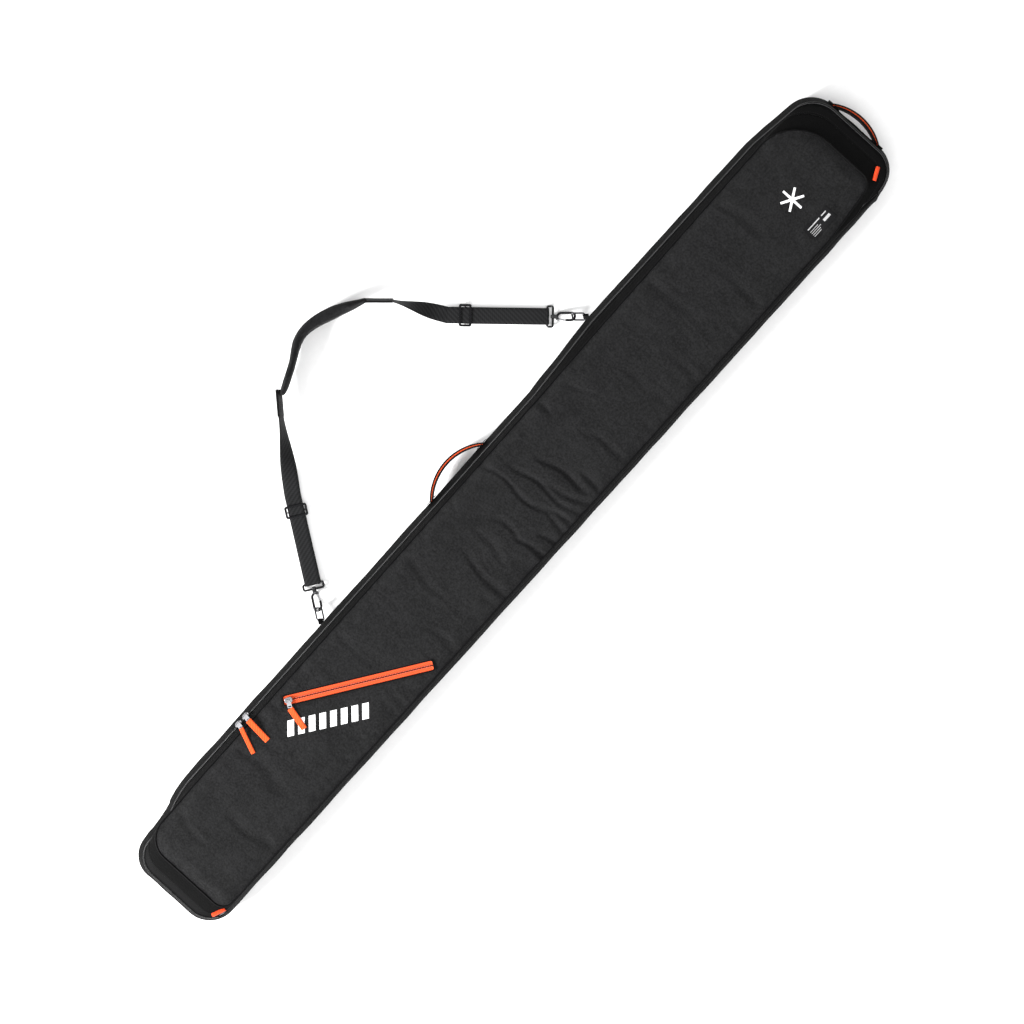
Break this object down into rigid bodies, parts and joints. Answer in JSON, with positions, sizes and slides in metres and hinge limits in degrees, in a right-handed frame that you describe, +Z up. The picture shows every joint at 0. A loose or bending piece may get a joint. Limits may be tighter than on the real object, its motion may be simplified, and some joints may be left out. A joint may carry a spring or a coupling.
{
  "type": "ski bag",
  "caption": "long padded ski bag lying flat, with a clamshell lid on a three-sided zipper, a slanted front pocket, grab handles and a clip-on shoulder strap",
  "frame": {"origin": "middle of the back panel's underside, which lies on the floor", "axes": "+X along the bag towards the nose end, +Y towards the zipper and shoulder strap side, +Z up out of the front panel"},
  "size_m": [1.868, 0.6112, 0.0926],
  "materials": {
    "shell_fabric": "charcoal polyester oxford weave",
    "piping": "black woven piping",
    "lining_fabric": "grey nylon lining",
    "foam": "closed cell foam",
    "zip_tape": "black herringbone zipper tape",
    "zip_coil": "black nylon coil",
    "orange_tape": "orange zipper tape",
    "orange_coil": "orange nylon coil",
    "orange_webbing": "orange woven webbing",
    "black_webbing": "black polyester webbing",
    "pad_fabric": "black padded fabric",
    "slider_metal": "nickel plated zinc",
    "ring_metal": "polished steel wire",
    "hook_metal": "black nickel plated zinc",
    "gate_metal": "bright steel",
    "adjuster_metal": "black nickel plated steel",
    "print_white": "white screen print on fabric",
    "label_fabric": "woven label"
  },
  "bodies": {
    "base": {"back_panel": "shell_fabric", "back_foam": "foam", "base_gusset": "shell_fabric", "base_gusset_foam": "foam", "base_lining": "lining_fabric", "back_piping": "piping", "base_zip_tape": "zip_tape", "base_zip_coil": "zip_coil", "spine_strip": "shell_fabric", "haul_handle_webbing": "black_webbing", "haul_handle_core": "orange_webbing", "end_handle_webbing": "black_webbing", "end_handle_core": "orange_webbing", "ring_tab_tail": "black_webbing", "ring_tab_nose": "black_webbing"},
    "lid": {"lid_gusset": "shell_fabric", "lid_zip_tape": "zip_tape", "lid_zip_coil": "zip_coil", "front_panel": "shell_fabric", "front_foam": "foam", "lid_lining": "lining_fabric", "front_piping": "piping", "pocket_tape_upper": "orange_tape", "pocket_tape_lower": "orange_tape", "pocket_coils": "orange_coil", "pocket_welt": "piping", "pocket_lining": "lining_fabric", "printed_flake": "print_white", "printed_bars": "print_white", "side_label": "label_fabric", "zip_end_tab_nose": "orange_webbing", "zip_end_tab_tail": "orange_webbing"},
    "main_slider_tail": {"main_slider_tail": "slider_metal"},
    "main_pull_tail": {"main_pull_tab_tail": "slider_metal", "main_pull_ribbon_tail": "orange_webbing"},
    "main_slider_nose": {"main_slider_nose": "slider_metal"},
    "main_pull_nose": {"main_pull_tab_nose": "slider_metal", "main_pull_ribbon_nose": "orange_webbing"},
    "pocket_slider": {"pocket_slider": "slider_metal"},
    "pocket_pull": {"pocket_pull_tab": "slider_metal", "pocket_pull_ribbon": "orange_webbing"},
    "strap": {"ring_tail": "ring_metal", "swivel_eye_tail": "hook_metal", "strap_webbing_tail": "black_webbing", "pad_tab_tail": "pad_fabric", "ring_nose": "ring_metal", "swivel_eye_nose": "hook_metal", "strap_webbing_nose": "black_webbing", "pad_tab_nose": "pad_fabric", "shoulder_pad_cover": "pad_fabric", "shoulder_pad_foam": "foam"},
    "hook_tail": {"hook_tail": "hook_metal"},
    "hook_gate_tail": {"hook_gate_tail": "gate_metal"},
    "adjuster_tail": {"adjuster_tail": "adjuster_metal", "strap_sewn_end_tail": "black_webbing"},
    "hook_nose": {"hook_nose": "hook_metal"},
    "hook_gate_nose": {"hook_gate_nose": "gate_metal"},
    "adjuster_nose": {"adjuster_nose": "adjuster_metal", "strap_sewn_end_nose": "black_webbing"}
  },
  "joints": [
    {"name": "lid_hinge", "type": "hinge", "parent": "base", "child": "lid", "pos_m": [0, -0.1104, 0.062], "axis": [1, 0, 0], "range_deg": [0, 175], "deforming": ["spine_strip"]},
    {"name": "main_slider_tail_slide", "type": "slide", "parent": "lid", "child": "main_slider_tail", "axis": [1, 0.0063, 0], "range_m": [-0.13, 0]},
    {"name": "main_pull_tail_hinge", "type": "hinge", "parent": "main_slider_tail", "child": "main_pull_tail", "pos_m": [-0.61203, 0.10439, 0.06504], "axis": [-1, -0.0063, 0], "range_deg": [0, 150]},
    {"name": "main_slider_nose_slide", "type": "slide", "parent": "lid", "child": "main_slider_nose", "axis": [1, 0.0063, 0], "range_m": [0, 0.75]},
    {"name": "main_pull_nose_hinge", "type": "hinge", "parent": "main_slider_nose", "child": "main_pull_nose", "pos_m": [-0.59303, 0.10451, 0.06504], "axis": [-1, -0.0063, 0], "range_deg": [0, 150]},
    {"name": "pocket_slider_slide", "type": "slide", "parent": "lid", "child": "pocket_slider", "axis": [0.8271, -0.5621, 0], "range_m": [0, 0.25]},
    {"name": "pocket_pull_hinge", "type": "hinge", "parent": "pocket_slider", "child": "pocket_pull", "pos_m": [-0.51856, 0.06394, 0.0909], "axis": [-0.8271, 0.5621, 0], "range_deg": [0, 160]},
    {"name": "strap_lift", "type": "hinge", "parent": "base", "child": "strap", "pos_m": [-0.37841, 0.11858, 0.01975], "axis": [0.9998, 0.0206, 0], "range_deg": [0, 80], "deforming": ["ring_tab_tail", "ring_tab_nose"]},
    {"name": "hook_tail_swivel", "type": "hinge", "parent": "strap", "child": "hook_tail", "pos_m": [-0.34568, 0.16537, 0.00657], "axis": [0.5586, 0.7984, -0.225], "range_deg": [-20, 20]},
    {"name": "hook_gate_tail_hinge", "type": "hinge", "parent": "hook_tail", "child": "hook_gate_tail", "pos_m": [-0.34722, 0.15524, 0.01127], "axis": [0.2845, -0.4391, -0.8522], "range_deg": [0, 28], "stiffness_Nm_per_rad": 0.005},
    {"name": "adjuster_tail_slide", "type": "slide", "parent": "strap", "child": "adjuster_tail", "axis": [0.5733, 0.8194, 0], "range_m": [-0.015, 0.015]},
    {"name": "hook_nose_swivel", "type": "hinge", "parent": "strap", "child": "hook_nose", "pos_m": [0.30777, 0.17631, 0.00657], "axis": [-0.6448, 0.7305, -0.225], "range_deg": [-20, 20]},
    {"name": "hook_gate_nose_hinge", "type": "hinge", "parent": "hook_nose", "child": "hook_gate_nose", "pos_m": [0.31043, 0.16642, 0.01127], "axis": [0.2333, 0.4683, 0.8522], "range_deg": [0, 28], "stiffness_Nm_per_rad": 0.005},
    {"name": "adjuster_nose_slide", "type": "slide", "parent": "strap", "child": "adjuster_nose", "axis": [-0.6618, 0.7497, 0], "range_m": [-0.015, 0.015]}
  ]
}
